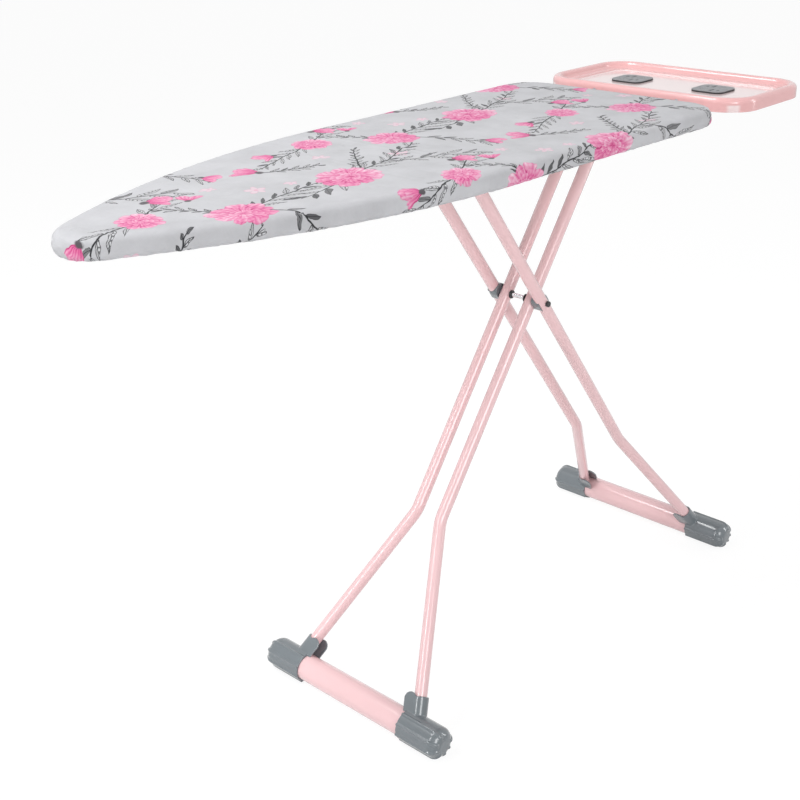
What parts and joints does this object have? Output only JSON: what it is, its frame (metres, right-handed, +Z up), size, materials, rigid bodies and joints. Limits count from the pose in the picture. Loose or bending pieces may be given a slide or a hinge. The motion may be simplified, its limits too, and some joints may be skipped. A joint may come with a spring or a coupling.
{
  "type": "folding ironing board",
  "caption": "Ironing board with padded patterned cover, perforated deck, folding tube legs, sliding height clamp and a pressed sheet iron rest behind the heel.",
  "frame": {"origin": "on the floor, under the middle of the bounding box", "axes": "+X from the nose to the iron rest, +Y to the left side, +Z up"},
  "size_m": [1.498, 0.4444, 0.9603],
  "materials": {
    "cover_cloth": "printed cotton, matte",
    "felt": "needled felt",
    "deck_steel": "thin grey paint, satin",
    "pink_paint": "powder coat, gloss",
    "rest_paint": "powder coat, gloss",
    "zinc": "zinc plated",
    "chrome": "polished",
    "black_rubber": "matte",
    "black_plastic": "matte",
    "grey_rubber": "matte",
    "grey_plastic": "semi gloss",
    "white_plastic": "satin"
  },
  "bodies": {
    "board": {"cover": "cover_cloth", "felt_pad": "felt", "deck": "deck_steel", "rim_tube": "pink_paint", "front_rail": "pink_paint", "middle_rail": "pink_paint", "hinge_rail": "pink_paint", "hinge_bracket": "zinc", "hinge_pin": "zinc", "front_rod_bracket": "zinc", "rear_rod_bracket": "zinc", "guide_rod": "chrome", "rod_buffers": "black_rubber", "rod_clips": "black_plastic", "bracket_rivets": "zinc", "iron_rest": "rest_paint", "left_rest_arm": "pink_paint", "right_rest_arm": "pink_paint", "rest_rivets": "zinc", "left_rest_pad": "grey_rubber", "right_rest_pad": "grey_rubber"},
    "inner_legs": {"left_inner_leg": "pink_paint", "right_inner_leg": "pink_paint", "inner_top_sleeve": "pink_paint", "inner_leg_plugs": "black_plastic", "front_foot_tube": "pink_paint", "front_left_foot_cap": "grey_plastic", "front_right_foot_cap": "grey_plastic", "axle": "chrome", "axle_washers": "black_plastic", "axle_caps": "black_plastic"},
    "outer_legs": {"left_outer_leg": "pink_paint", "right_outer_leg": "pink_paint", "outer_top_bar": "pink_paint", "outer_leg_plugs": "black_plastic", "rear_foot_tube": "pink_paint", "rear_left_foot_cap": "grey_plastic", "rear_right_foot_cap": "grey_plastic", "left_leg_saddle": "grey_plastic", "right_leg_saddle": "grey_plastic"},
    "carriage": {"carriage": "white_plastic"},
    "release_lever": {"lock_plate": "zinc", "lever_rod": "zinc", "lever_grip": "grey_plastic"}
  },
  "joints": [
    {"name": "fold", "type": "hinge", "parent": "board", "child": "inner_legs", "pos_m": [0.3422, 0, 0.91033], "axis": [0, 1, 0], "range_deg": [0, 50.9]},
    {"name": "centre_pivot", "type": "hinge", "parent": "inner_legs", "child": "outer_legs", "pos_m": [0.146, 0, 0.64126], "axis": [0, 1, 0], "range_deg": [-101.8, 0]},
    {"name": "carriage_tilt", "type": "hinge", "parent": "outer_legs", "child": "carriage", "pos_m": [-0.0502, 0, 0.91033], "axis": [0, 1, 0], "range_deg": [0, 50.9]},
    {"name": "lever_release", "type": "hinge", "parent": "carriage", "child": "release_lever", "pos_m": [-0.0802, 0, 0.91382], "axis": [0, 1, 0], "range_deg": [-12, 0]}
  ],
  "couplings": [
    {"joint": "centre_pivot", "follows": "fold", "ratio": -2},
    {"joint": "carriage_tilt", "follows": "fold", "ratio": 1}
  ]
}
